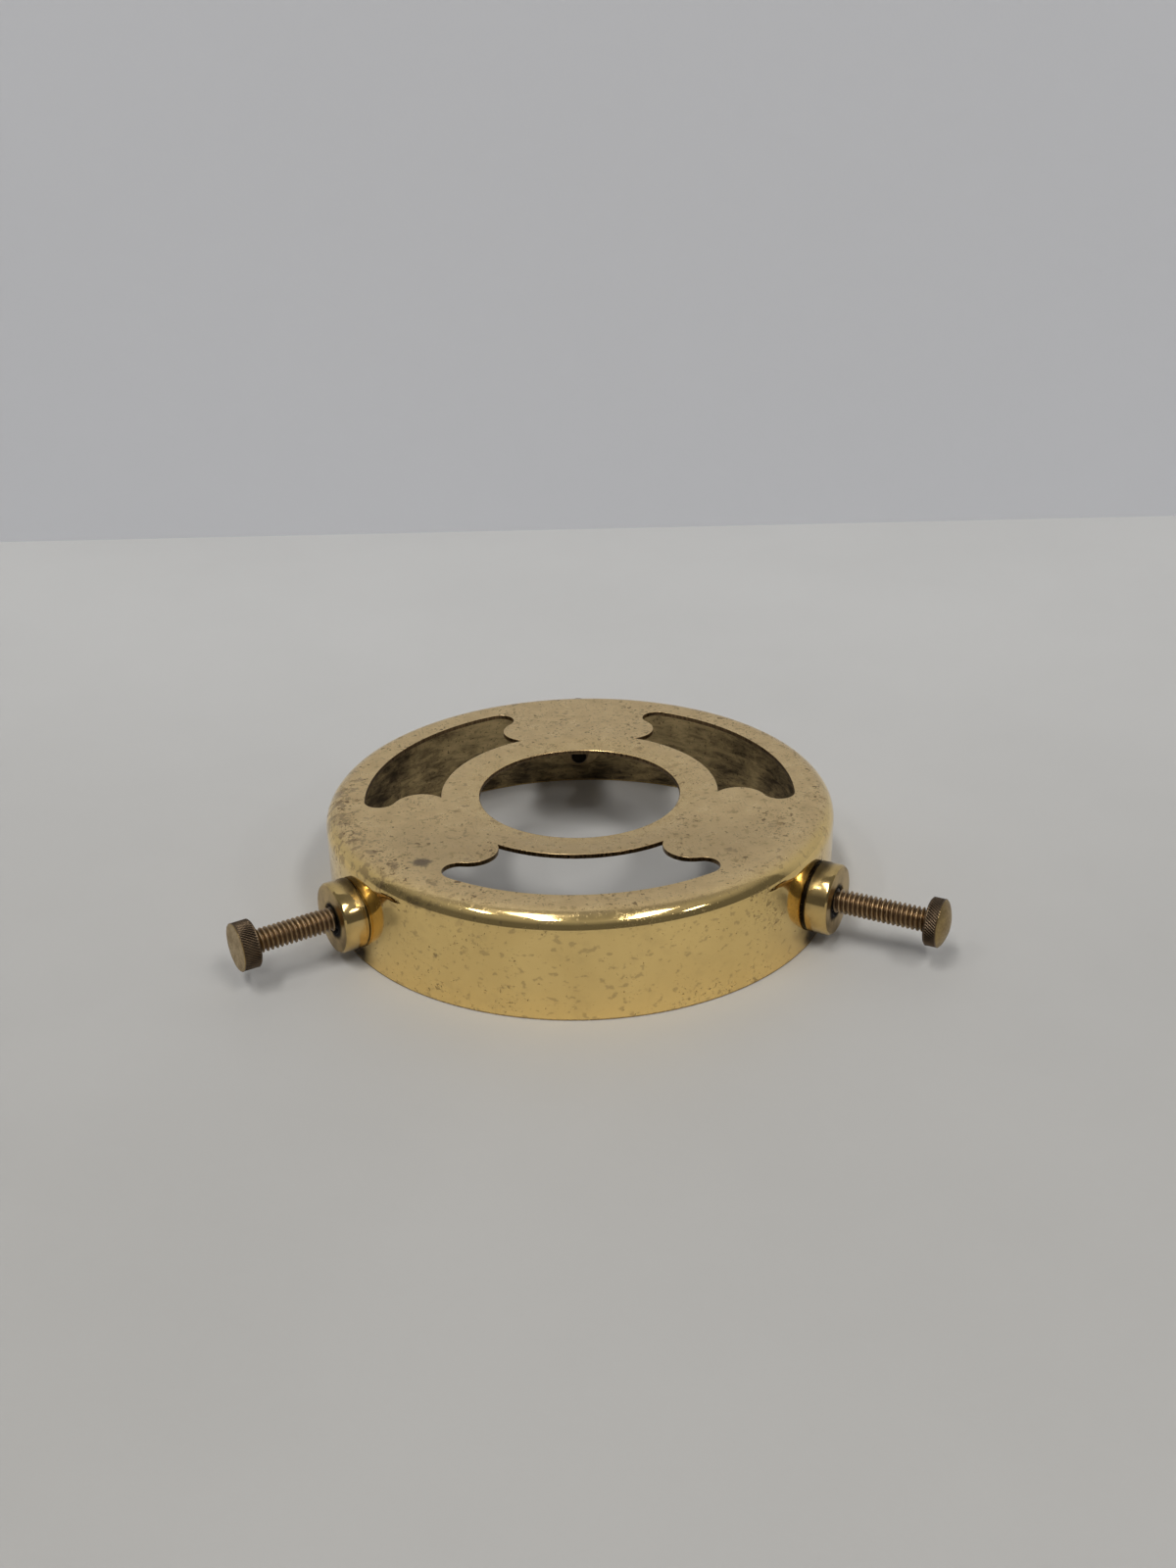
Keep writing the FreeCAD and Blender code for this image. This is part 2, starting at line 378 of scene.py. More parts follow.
def cup_mesh():
    """The pressed cup: plate with its hole and windows, shoulder, skirt and rim."""
    skin = Skin()
    clearance = 0.45
    window_rounds = (0.12, 0.08)     # of the punched edge, above and below
    hole_rounds = (0.3, 0.12)
    outlines = [lambda grow, azimuth=azimuth: window_outline(azimuth, grow)
                for azimuth in WINDOW_AZIMUTHS]
    flats = [punched_edge(skin, outline, *window_rounds) for outline in outlines]
    flats.append(punched_edge(skin, hole_outline, *hole_rounds))
    border = circle(FLAT_END, COLUMNS)
    points = plate_points()
    for level, finish in ((0, OUTSIDE), (1, INSIDE)):
        z = -SHEET * level
        places, triangles = fill(border, [flat[level] for flat in flats], points, clearance)
        skin.sheet(places, triangles, lambda x, y, z=z: (x, y, z), finish)
    skirt_low, skirt_high = RIM_Z + RIM_ROUND + 0.1, -SHOULDER
    revolved_band(skin, quarter(FLAT_END, -SHOULDER, SHOULDER, 90, 0, 20), OUTSIDE)
    revolved_band(skin, quarter(FLAT_END, -SHOULDER, SHOULDER - SHEET, 90, 0, 14), INSIDE)
    outer_holes = cup_wall(skin, CUP_RADIUS, skirt_low, skirt_high, OUTSIDE)
    inner_holes = cup_wall(skin, INNER_RADIUS, skirt_low, skirt_high, INSIDE)
    for outer, inner in zip(outer_holes, inner_holes):
        skin.band(outer, inner, EDGE)
    rim = [(CUP_RADIUS, skirt_low)]
    rim += quarter(CUP_RADIUS - RIM_ROUND, RIM_Z + RIM_ROUND, RIM_ROUND, 0, -90, 4)
    rim += quarter(INNER_RADIUS + RIM_ROUND, RIM_Z + RIM_ROUND, RIM_ROUND, -90, -180, 4)
    rim.append((INNER_RADIUS, skirt_low))
    revolved_band(skin, rim, EDGE)
    return skin.to_bmesh(settle)


def lathe(data, profile, columns, closed=False, warp=None):
    """Revolves (radius, z) points about Z. A radius of 0 makes a single vertex."""
    rings = []
    for radius, z in profile:
        if radius == 0:
            rings.append([data.verts.new((0, 0, z))])
            continue
        ring = []
        for k in range(columns):
            turn = math.tau * k / columns
            r = warp(radius, turn, z) if warp else radius
            ring.append(data.verts.new((r * math.cos(turn), r * math.sin(turn), z)))
        rings.append(ring)
    pairs = list(zip(rings, rings[1:])) + ([(rings[-1], rings[0])] if closed else [])
    for lower, upper in pairs:
        for k in range(columns):
            n = (k + 1) % columns
            corners = [lower[k % len(lower)], lower[n % len(lower)],
                       upper[n % len(upper)], upper[k % len(upper)]]
            data.faces.new(list(dict.fromkeys(corners)))
    return rings


def axis_matrix(side):
    """A screw's frame: Z away from the cup, X down."""
    outward = side_axis(side)
    down = Vector((0, 0, -1))
    across = outward.cross(down)
    turned = Matrix((down, across, outward)).transposed().to_4x4()
    return Matrix.Translation((0, 0, AXIS_Z * MM)) @ turned


def boss_mesh():
    """A boss with its tapped bore, from the riveted end of its spigot to its outer face."""
    corner = 0.16
    chamfer = 0.34
    rivet_round = 0.3
    rivet_back = CUP_RADIUS - 0.5
    foot = CUP_RADIUS - 0.45         # sunk into the skirt, which curves away under the boss
    foot_radius = BOSS_RADIUS - 0.12
    profile = [(BORE_RADIUS, RIVET_FACE + 0.15), (BORE_RADIUS + 0.15, RIVET_FACE)]
    profile += [(RIVET_RADIUS - rivet_round, RIVET_FACE)]
    profile += quarter(RIVET_RADIUS - rivet_round, RIVET_FACE + rivet_round, rivet_round, -90, 0, 4)[1:]
    profile += [(RIVET_RADIUS, rivet_back), (SPIGOT_RADIUS, rivet_back)]
    profile += [(SPIGOT_RADIUS, foot), (foot_radius, foot)]
    profile += [(foot_radius, CUP_RADIUS + 0.1), (BOSS_RADIUS, CUP_RADIUS + 0.24)]
    profile += [(BOSS_RADIUS, CUP_RADIUS + 0.3), (BOSS_RADIUS, CUP_RADIUS + 2.0)]
    profile += [(BOSS_RADIUS, BOSS_FACE - chamfer - corner)]
    profile += [(BOSS_RADIUS - 0.04, BOSS_FACE - chamfer + 0.02)]
    profile += [(BOSS_RADIUS - chamfer + 0.04, BOSS_FACE - 0.04)]
    profile += [(BOSS_RADIUS - chamfer - corner, BOSS_FACE), (MOUTH_RADIUS + 0.2, BOSS_FACE)]
    profile += [(MOUTH_RADIUS + 0.06, BOSS_FACE), (MOUTH_RADIUS - 0.06, BOSS_FACE - 0.08)]
    profile += [(BORE_RADIUS, BOSS_FACE - MOUTH_RADIUS + BORE_RADIUS)]
    data = bmesh.new()
    lathe(data, profile, BOSS_COLUMNS, closed=True)
    return data


# One pitch of the thread: share of the pitch, share of the thread's depth
THREAD_FORM = ((0.0, 1.0), (0.05, 0.985), (0.095, 0.92), (0.25, 0.5), (0.405, 0.08), (0.45, 0.015),
               (0.5, 0.0), (0.55, 0.015), (0.595, 0.08), (0.75, 0.5), (0.905, 0.92), (0.95, 0.985))


def thread(data, low, high):
    """The thread's skin between two heights, tapering to its root at both. Returns the two end rims."""
    depth = CREST_RADIUS - ROOT_RADIUS
    per_turn = len(THREAD_FORM)
    end_slope = 1.6      # how fast the thread runs out towards the head
    first = math.floor(low / PITCH) - 2
    last = math.ceil(high / PITCH) + 1
    rows = []
    for row in range((last - first) * per_turn + 1):
        share, height = THREAD_FORM[row % per_turn]
        ring = []
        for k in range(THREAD_COLUMNS + 1):
            turn = k / THREAD_COLUMNS
            z = (first + row // per_turn + share + turn) * PITCH
            limit = ROOT_RADIUS + max(0.0, min(z - low, (high - z) * end_slope))
            radius = min(ROOT_RADIUS + depth * height, limit)
            angle = math.tau * turn
            ring.append(data.verts.new((radius * math.cos(angle), radius * math.sin(angle), z)))
        rows.append(ring)
    for lower, upper in zip(rows, rows[1:]):
        for k in range(THREAD_COLUMNS):
            data.faces.new((lower[k], lower[k + 1], upper[k + 1], upper[k]))
    bmesh.ops.remove_doubles(data, verts=data.verts, dist=WELD)
    rims = []
    for z, normal in ((low, (0, 0, -1)), (high, (0, 0, 1))):
        geometry = data.verts[:] + data.edges[:] + data.faces[:]
        bmesh.ops.bisect_plane(data, geom=geometry, plane_co=(0, 0, z), plane_no=normal,
                               clear_outer=True)
        rims.append([e for e in data.edges if e.is_boundary
                     and all(abs(v.co.z - z) < 1e-4 for v in e.verts)])
    return rims


def knurl(radius, turn, z, low, high):
    """Radius of the head's side under its diagonal knurl, which fades at the side's two edges."""
    def groove(phase):
        return abs(2 * (phase % 1.0) - 1)
    lead = 1.5           # teeth that a groove passes in one millimetre of height
    edge_width = 0.22
    count = KNURL_TEETH * turn / math.tau
    main, cross = groove(count - lead * z), groove(count + lead * z)
    fade = min(max(min(z - low, high - z) / edge_width, 0.0), 1.0)
    wear = 0.75 + 0.25 * math.sin(3 * turn + 1.3) * math.sin(z * 1.1 + turn)
    return radius - KNURL_DEPTH * wear * fade * (0.8 * main ** 1.3 + 0.2 * cross ** 1.3)


def thumbscrew_mesh(dome, chamfer):
    """Head and threaded shank as one skin, from the end of the plain point."""
    under_round = 0.22
    data = bmesh.new()
    point_end, head_end = thread(data, POINT_LENGTH, SHANK_LENGTH)
    bmesh.ops.holes_fill(data, edges=point_end, sides=0)
    low, high = SHANK_LENGTH, SHANK_LENGTH + HEAD_THICKNESS + (HEAD_BULGE - 1) * dome
    side_low, side_high = low + under_round, high - chamfer
    columns = KNURL_TEETH * 6
    rows = 34
    profile = [(ROOT_RADIUS + 0.4, low), (HEAD_RADIUS - 0.9, low), (HEAD_RADIUS - 0.32, low)]
    profile += [(HEAD_RADIUS - under_round, low + 0.02)]
    profile += [(HEAD_RADIUS, side_low + (side_high - side_low) * k / rows) for k in range(rows + 1)]
    edge = HEAD_RADIUS - chamfer
    profile += [(edge + 0.05 * chamfer, high - 0.06 * chamfer), (edge - 0.06, high)]
    for share in (0.9, 0.75, 0.5, 0.25):
        profile.append((edge * share, high + dome * (1 - share ** 2)))
    profile.append((0, high + dome))

    def warp(radius, turn, z):
        if abs(radius - HEAD_RADIUS) < 1e-9:
            return knurl(radius, turn, z, side_low, side_high)
        return radius
    rings = lathe(data, profile, columns, warp=warp)
    inner = [e for e in data.edges if e.is_boundary and all(v in rings[0] for v in e.verts)]
    bmesh.ops.bridge_loops(data, edges=head_end + inner)
    return data


def point_mesh():
    """The plain end of a screw, with a small chamfer."""
    chamfer = 0.35
    profile = [(0, 0), (POINT_RADIUS - chamfer - 0.06, 0), (POINT_RADIUS - chamfer + 0.03, 0.03)]
    profile += [(POINT_RADIUS - 0.03, chamfer - 0.03), (POINT_RADIUS, chamfer + 0.06)]
    profile += [(POINT_RADIUS, POINT_LENGTH), (0, POINT_LENGTH)]
    data = bmesh.new()
    lathe(data, profile, POINT_COLUMNS)
    return data


# ---- materials -------------------------------------------------------------------------------------
class Finish:
    """A metal's or a paint's node tree. Sockets and plain numbers can be mixed freely as inputs."""

    def __init__(self, name, metallic):
        self.material = bpy.data.materials.new(name)
        self.material.use_nodes = True
        self.tree = self.material.node_tree
        self.tree.nodes.clear()
        self.shader = self.tree.nodes.new("ShaderNodeBsdfPrincipled")
        self.shader.inputs["Metallic"].default_value = metallic
        output = self.tree.nodes.new("ShaderNodeOutputMaterial")
        self.tree.links.new(self.shader.outputs["BSDF"], output.inputs["Surface"])
        place = self.tree.nodes.new("ShaderNodeTexCoord")
        self.place = self.vector("SCALE", place.outputs["Object"], scale=1 / MM)
        separate = self.tree.nodes.new("ShaderNodeSeparateXYZ")
        self.connect(self.place, separate.inputs[0])
        self.x, self.y, self.z = separate.outputs
        squares = self.plus(self.times(self.x, self.x), self.times(self.y, self.y))
        self.radius = self.math("SQRT", squares)

    def connect(self, value, socket):
        if isinstance(value, bpy.types.NodeSocket):
            self.tree.links.new(value, socket)
        elif isinstance(value, tuple) and len(value) == 3 and socket.type == "RGBA":
            socket.default_value = (*value, 1)
        else:
            socket.default_value = value

    def math(self, operation, a, b=0.0, clamp=False):
        node = self.tree.nodes.new("ShaderNodeMath")
        node.operation, node.use_clamp = operation, clamp
        self.connect(a, node.inputs[0])
        self.connect(b, node.inputs[1])
        return node.outputs[0]

    def plus(self, a, b, clamp=False):
        return self.math("ADD", a, b, clamp)

    def minus(self, a, b):
        return self.math("SUBTRACT", a, b)

    def times(self, a, b):
        return self.math("MULTIPLY", a, b)

    def larger(self, a, b):
        return self.math("MAXIMUM", a, b)

    def vector(self, operation, a, b=(0, 0, 0), scale=1.0):
        node = self.tree.nodes.new("ShaderNodeVectorMath")
        node.operation = operation
        self.connect(a, node.inputs[0])
        if operation == "SCALE":
            node.inputs["Scale"].default_value = scale
        else:
            self.connect(b, node.inputs[1])
        return node.outputs["Value" if operation == "DISTANCE" else "Vector"]

    def noise(self, scale, stretch=(1, 1, 1), detail=3.0, rough=0.55, distortion=0.0, shift=0.0,
              at=None):
        """Noise from 0 to 1, scale in cells per millimetre."""
        place = self.vector("MULTIPLY", at or self.place, stretch)
        if shift:
            place = self.vector("ADD", place, (shift, shift * 0.7, -shift))
        node = self.tree.nodes.new("ShaderNodeTexNoise")
        self.connect(place, node.inputs["Vector"])
        for name, value in (("Scale", scale), ("Detail", detail), ("Roughness", rough),
                            ("Distortion", distortion)):
            node.inputs[name].default_value = value
        return node.outputs["Fac"]

    def fade(self, value, low, high, to_low=0.0, to_high=1.0):
        """Smooth step of a value from low to high. low may be above high."""
        node = self.tree.nodes.new("ShaderNodeMapRange")
        node.interpolation_type = "SMOOTHSTEP"
        for socket, number in zip(node.inputs, (value, low, high, to_low, to_high)):
            self.connect(number, socket)
        return node.outputs[0]

    def mix(self, share, a, b):
        node = self.tree.nodes.new("ShaderNodeMix")
        node.data_type = "RGBA"
        self.connect(share, node.inputs[0])
        self.connect(a, node.inputs[6])
        self.connect(b, node.inputs[7])
        return node.outputs[2]

    def bump(self, height, depth):
        """Bump whose height of 1 stands for that many millimetres."""
        node = self.tree.nodes.new("ShaderNodeBump")
        node.inputs["Strength"].default_value = 1.0
        node.inputs["Distance"].default_value = depth * MM
        self.connect(height, node.inputs["Height"])
        return node.outputs[0]

    def rotated(self, degrees):
        node = self.tree.nodes.new("ShaderNodeVectorRotate")
        node.rotation_type = "Z_AXIS"
        node.inputs["Angle"].default_value = math.radians(degrees)
        self.connect(self.place, node.inputs["Vector"])
        return node.outputs[0]

    def scratches(self, degrees, scale, threshold, shift=0.0):
        """Thin lines at an angle in the top plane, from 0 to 1."""
        lines = self.noise(scale, stretch=(0.05, 1.6, 0.3), detail=1.0, distortion=0.25, shift=shift,
                           at=self.rotated(degrees))
        gaps = self.noise(0.25, shift=shift + 3.1)
        return self.times(self.fade(lines, threshold, threshold + 0.05), self.fade(gaps, 0.5, 0.6))

    def set(self, colour, roughness, normal):
        self.connect(colour, self.shader.inputs["Base Color"])
        self.connect(roughness, self.shader.inputs["Roughness"])
        self.connect(normal, self.shader.inputs["Normal"])
        return self.material


# Near black, for real dirt and also for painted shade: above the bosses, in and round their mouths, and
# on the shanks inside them.
DIRT_AND_SHADE = (0.012, 0.009, 0.006)

# Dirt at each boss's joint with the cup, and painted shade where the band widens above the boss: how
# much wider than the boss, and how far shifted upwards
DIRT_AND_SHADE_REACH = {"left": (-0.75, 0.5), "right": (-0.45, 0.5), "back": (-0.4, 0.4)}


def on_skirt(side, height):
    """Place on the skirt's outside, that far above a screw's axis."""
    return tuple(side_axis(side) * CUP_RADIUS + Vector((0, 0, AXIS_Z + height)))


def dirt_and_shade_round_bosses(f):
    """1 near the three bosses, on the cup's outside, with a ragged border: dirt at the joints, widened
    upwards into painted shade above each boss.
    """
    total = 0.0
    ragged = f.times(f.noise(0.9, detail=4.0), 1.6)
    for side, (spread, lift) in DIRT_AND_SHADE_REACH.items():
        away = f.plus(f.vector("DISTANCE", f.place, on_skirt(side, lift)), ragged)
        dirty = BOSS_RADIUS + spread
        total = f.larger(total, f.fade(away, dirty + 1.2, dirty + 0.4))
    return total


def outside_brass():
    """Polished skirt and duller, speckled top, with stains on the shoulder, a painted reflection of
    shade below each boss, and dirt and painted shade round the bosses.
    """
    f = Finish("outside_brass", 1.0)

    # Clean metal: bright skirt, duller top, worn towards its front
    top = f.fade(f.z, -1.1, 0.0)
    cloud = f.fade(f.noise(0.09, detail=4.0, distortion=0.4), 0.35, 0.7)
    mottle = f.fade(f.noise(0.3, detail=4.0, rough=0.6), 0.3, 0.72)
    colour = f.mix(f.times(cloud, 0.5), (0.93, 0.68, 0.275), (0.81, 0.58, 0.225))
    dull = f.mix(mottle, (0.87, 0.65, 0.33), (0.745, 0.545, 0.268))
    worn = f.times(f.fade(f.y, -8.0, -20.0), f.fade(f.radius, 40.0, 32.0))
    dull = f.mix(f.times(worn, 0.6), dull, (0.60, 0.44, 0.225))
    colour = f.mix(top, colour, dull)

    # Dark specks, crowded in places and on the left of the shoulder
    left = f.fade(f.plus(f.x, f.times(f.y, 0.35)), -26.0, -39.0)
    shoulder = f.times(f.times(f.fade(f.radius, 36.0, 39.5), f.fade(f.z, -6.5, -2.5)), left)
    crowd = f.times(f.fade(f.noise(0.11, shift=5.0), 0.42, 0.66), 0.075)
    crowd = f.plus(crowd, f.times(top, 0.015))
    crowd = f.plus(crowd, f.times(shoulder, 0.025))
    dots = f.plus(f.noise(1.0, detail=3.0, rough=0.6, shift=1.7), crowd)
    flecks = f.plus(f.noise(2.3, stretch=(1, 1, 1.4), detail=2.5, shift=8.2), crowd)
    stains = f.plus(f.noise(0.42, detail=6.0, rough=0.66, shift=12.0), crowd)
    spots = f.larger(f.fade(dots, 0.675, 0.73), f.times(f.fade(flecks, 0.685, 0.74), 0.8))
    spots = f.larger(spots, f.times(f.fade(stains, 0.64, 0.76), 0.7))
    colour = f.mix(f.times(spots, f.fade(top, 0.0, 1.0, 0.5, 0.75)), colour, (0.14, 0.092, 0.052))

    # Brown blotches on the top and the left of the shoulder
    blotch = f.plus(f.noise(0.62, detail=3.0, rough=0.55, shift=41.0), f.times(shoulder, 0.1))
    blotch = f.plus(blotch, f.times(f.fade(f.noise(0.09, shift=45.0), 0.4, 0.7), 0.06))
    blotch = f.times(f.fade(blotch, 0.64, 0.74), f.larger(top, shoulder))
    colour = f.mix(f.times(blotch, 0.5), colour, (0.24, 0.16, 0.09))

    # Tarnish and haze everywhere
    tarnish = f.plus(f.noise(0.72, stretch=(1, 1, 1.3), detail=2.0, rough=0.5, shift=21.0),
                     f.times(f.noise(0.16, shift=17.0), 0.12))
    haze = f.noise(0.22, detail=5.0, rough=0.65, shift=30.0)
    marks = f.larger(f.fade(tarnish, 0.66, 0.75), f.times(f.fade(haze, 0.5, 0.8), 0.5))
    colour = f.mix(f.times(marks, 0.5), colour, (0.43, 0.315, 0.15))

    # One dark smudge on the front left of the plate
    smudge = f.vector("DISTANCE", f.vector("MULTIPLY", f.place, (1, 1.25, 1)), (-24.98, -31.2, 0))
    smudge = f.fade(f.plus(smudge, f.times(f.noise(0.8, detail=4.0), 3.0)), 3.7, 2.3)
    colour = f.mix(f.times(smudge, 0.75), colour, (0.09, 0.065, 0.055))

    # Scratches on the top
    lines = f.larger(f.scratches(23, 5.0, 0.64), f.scratches(-48, 6.0, 0.65, 4.0))
    lines = f.larger(lines, f.scratches(80, 4.2, 0.64, 9.0))
    lines = f.times(lines, top)
    colour = f.mix(f.times(lines, 0.45), colour, (0.22, 0.16, 0.09))

    # Painted reflection of the shade under each boss, on the skirt below it; dirt and painted shade
    # round the bosses
    for side in SIDES:
        # Painted reflection: the skirt below each boss is darkened for the shade under the boss that it
        # mirrors.
        below = f.vector("DISTANCE", f.place, on_skirt(side, -6.0))
        below = f.plus(below, f.times(f.noise(0.6, detail=4.0), 2.0))
        colour = f.mix(f.fade(below, 6.0, 3.0, 0.0, 0.9), colour, (0.08, 0.055, 0.03))
    # Dirt at the bosses' joints and painted shade above them.
    joint_dirt_and_shade = dirt_and_shade_round_bosses(f)
    colour = f.mix(joint_dirt_and_shade, colour, DIRT_AND_SHADE)

    # Gloss and relief
    rough = f.plus(f.fade(marks, 0.0, 1.0, 0.06, 0.16), f.times(top, 0.21))
    rough = f.plus(rough, f.times(mottle, 0.05))
    rough = f.plus(rough, f.times(f.larger(spots, joint_dirt_and_shade), 0.3), clamp=True)
    spun = f.noise(1.0, stretch=(0.05, 0.05, 9.0), detail=2.0)
    fine = f.noise(7.0, detail=2.0)
    height = f.plus(f.times(spun, 0.0004), f.times(fine, 0.00012))
    height = f.plus(height, f.times(f.noise(0.5, detail=1.0), 0.003))
    height = f.minus(height, f.times(f.larger(spots, lines), 0.002))
    return f.set(colour, rough, f.bump(height, 1.0))


def inside_brass():
    """Unpolished inside: golden at the back, blackened in streaks towards the sides."""
    f = Finish("inside_brass", 1.0)
    streaks = f.noise(0.5, stretch=(0.5, 0.5, 1.6), detail=8.0, rough=0.72, distortion=0.5)
    blotch = f.noise(0.13, detail=4.0, rough=0.6, shift=2.3)
    clean = f.times(f.fade(f.y, 24.0, 39.0), 0.16)
    shade = f.plus(f.times(streaks, 0.65), f.times(blotch, 0.45))
    shade = f.minus(shade, f.times(clean, f.fade(f.z, -16.0, -6.0)))
    colour = f.mix(f.fade(shade, 0.30, 0.70), (0.70, 0.53, 0.27), (0.075, 0.055, 0.034))
    specks = f.fade(f.noise(2.2, detail=4.0, rough=0.65, shift=6.0), 0.58, 0.68)
    colour = f.mix(f.times(specks, 0.75), colour, (0.028, 0.021, 0.014))
    rough = f.fade(shade, 0.35, 0.7, 0.34, 0.6)
    height = f.plus(f.times(streaks, 0.03), f.times(f.noise(3.0), 0.008))
    return f.set(colour, rough, f.bump(height, 1.0))


def edge_brass():
    """Edges of the sheet: brown, with brighter shear marks, and golden at the skirt's rim."""
    f = Finish("edge_brass", 1.0)
    shear = f.noise(1.0, stretch=(3.0, 3.0, 0.25), detail=3.0)
    rim = f.fade(f.z, -SHEET - 0.5, -SHEET - 2.0)
    colour = f.mix(f.fade(shear, 0.4, 0.7), (0.16, 0.105, 0.055), (0.30, 0.20, 0.10))
    colour = f.mix(rim, colour, f.mix(f.fade(shear, 0.3, 0.7), (0.66, 0.47, 0.20), (0.40, 0.28, 0.13)))
    rough = f.fade(shear, 0.3, 0.8, 0.25, 0.5)
    return f.set(colour, rough, f.bump(shear, 0.02))


def boss_brass(name, corner_width, above_width, dark_side):
    """Turned and polished, with black dirt in the corner against the cup, painted shade on the barrel's
    upper side next to the cup, painted shade in the tapped mouth and bore, and dirt with a painted
    reflection of the shank round the mouth.

    The two widths say how far the dark comes out from the skirt: the dirt all round, and the painted
    shade on the upper side.
    dark_side is 1 or -1 for the side of the mouth that is darker, or 0.
    """
    f = Finish(name, 1.0)
    cloud = f.fade(f.noise(0.3, detail=4.0, distortion=0.3), 0.35, 0.7)
    colour = f.mix(cloud, (0.68, 0.49, 0.20), (0.50, 0.355, 0.143))
    hidden = f.fade(f.z, CUP_RADIUS - 0.6, CUP_RADIUS - 0.9)
    face = f.fade(f.z, BOSS_FACE - 0.06, BOSS_FACE - 0.02)
    colour = f.mix(face, colour, f.mix(cloud, (0.51, 0.355, 0.135), (0.31, 0.21, 0.088)))
    ragged = f.times(f.minus(f.noise(0.7, detail=4.0), 0.5), 0.7)
    clear = f.plus(f.minus(f.z, CUP_RADIUS), f.times(f.times(f.y, f.y), 0.5 / CUP_RADIUS))
    edge = f.plus(0.18 + corner_width, f.times(ragged, 0.5))
    # Dirt in the corner against the cup.
    corner = f.fade(f.minus(clear, edge), 0.15, -0.15)
    # Painted shade on the barrel's upper side, next to the cup.
    above = f.plus(f.times(f.plus(f.x, BOSS_RADIUS), 0.55), f.times(ragged, 1.5))
    above = f.plus(above, clear)
    above = f.times(f.fade(above, above_width + 1.4, above_width - 0.4), 0.85)
    corner = f.times(f.larger(corner, above), f.minus(1.0, hidden))
    colour = f.mix(hidden, colour, f.mix(cloud, (0.60, 0.45, 0.24), (0.34, 0.25, 0.13)))
    # Dirt and a painted reflection of the shank's dark side on the face round the mouth, heavier on
    # dark_side.
    mouth = f.vector("DISTANCE", f.vector("MULTIPLY", f.place, (1, 1, 0)), (0, 0.75 * dark_side, 0))
    mouth = f.minus(mouth, f.times(f.noise(0.9, detail=4.0), 0.9))
    mouth = f.times(f.fade(mouth, 3.0, 2.0), f.minus(1.0, hidden))
    # Painted shade in the countersunk mouth and the bore.
    tapped = f.fade(f.radius, MOUTH_RADIUS + 0.05, MOUTH_RADIUS - 0.1)
    colour = f.mix(tapped, colour, (0.13, 0.09, 0.055))
    specks = f.fade(f.noise(2.6, detail=3.0, shift=4.0), 0.66, 0.76)
    # Dirt, painted shade and painted reflection together, with dirt specks.
    dirt = f.larger(f.larger(corner, mouth), f.times(specks, 0.5))
    colour = f.mix(dirt, colour, DIRT_AND_SHADE)
    rough = f.plus(f.fade(cloud, 0.0, 1.0, 0.10, 0.17), f.times(dirt, 0.35))
    rough = f.plus(rough, f.times(f.larger(face, tapped), 0.2))
    rough = f.plus(rough, f.times(hidden, 0.35))
    rings = f.noise(1.0, stretch=(0.02, 0.02, 12.0), detail=2.0)
    height = f.plus(f.times(rings, 0.0005), f.times(f.noise(0.8), 0.0003))
    return f.set(colour, rough, f.bump(height, 1.0))


def screw_brass(name, bright, dome, chamfer, shade_ring_end):
    """Tarnished screw: brown, worn brighter on the thread's crests and the head's face, with painted
    shade in the knurl's grooves and on the shank inside a boss's mouth.

    bright scales the face's colour. The last argument is where the mouth of the boss comes on the shank
    at rest, and a ring of painted shade ends there, inside the mouth.
    """
    f = Finish(name, 1.0)
    patch = f.fade(f.noise(0.45, detail=5.0, rough=0.65), 0.35, 0.7)
    fine = f.fade(f.noise(2.4, detail=3.0, shift=3.0), 0.3, 0.75)
    crest = f.fade(f.radius, ROOT_RADIUS + 0.06, CREST_RADIUS - 0.04)
    worn = f.mix(patch, (0.48, 0.345, 0.195), (0.30, 0.205, 0.115))
    shank = f.mix(crest, (0.20, 0.135, 0.078), worn)
    # Painted shade: the knurl's grooves are coloured near black.
    knurled = f.fade(f.radius, HEAD_RADIUS - 0.19, HEAD_RADIUS - 0.01)
    ridges = f.mix(patch, (0.15, 0.105, 0.065), (0.08, 0.057, 0.037))
    side = f.mix(knurled, (0.006, 0.0045, 0.0035), ridges)
    flat = f.mix(patch, (0.48 * bright, 0.34 * bright, 0.14 * bright),
                 (0.33 * bright, 0.23 * bright, 0.098 * bright))
    flat = f.mix(f.times(fine, 0.35), flat, (0.20, 0.145, 0.09))
    edge_z = SHANK_LENGTH + HEAD_THICKNESS + (HEAD_BULGE - 1) * dome - chamfer
    front = f.fade(f.z, edge_z - 0.02, edge_z + 0.35 * chamfer + 0.03)
    head = f.mix(front, side, flat)
    behind = f.fade(f.z, SHANK_LENGTH + 0.2, SHANK_LENGTH + 0.1)
    head = f.mix(behind, head, (0.13, 0.095, 0.062))
    # Painted shade on the shank inside the boss's mouth.
    ring = f.times(f.fade(f.z, shade_ring_end + 0.25, shade_ring_end - 0.25),
                   f.fade(f.z, shade_ring_end - 2.6, shade_ring_end - 1.2))
    shank = f.mix(ring, shank, DIRT_AND_SHADE)
    colour = f.mix(f.fade(f.z, SHANK_LENGTH - 0.1, SHANK_LENGTH), shank, head)
    rough = f.plus(f.fade(patch, 0.0, 1.0, 0.30, 0.42), f.times(fine, 0.12))
    height = f.plus(f.times(f.noise(5.0, detail=3.0), 0.01), f.times(f.noise(0.9, detail=2.0), 0.02))
    return f.set(colour, rough, f.bump(height, 1.0))


# ---- the object ------------------------------------------------------------------------------------
cup_finishes = [outside_brass(), inside_brass(), edge_brass()]
finish_object("cup_shell", cup_mesh(), cup_finishes, "gallery", ["gallery_cup"],
              sharp=50)

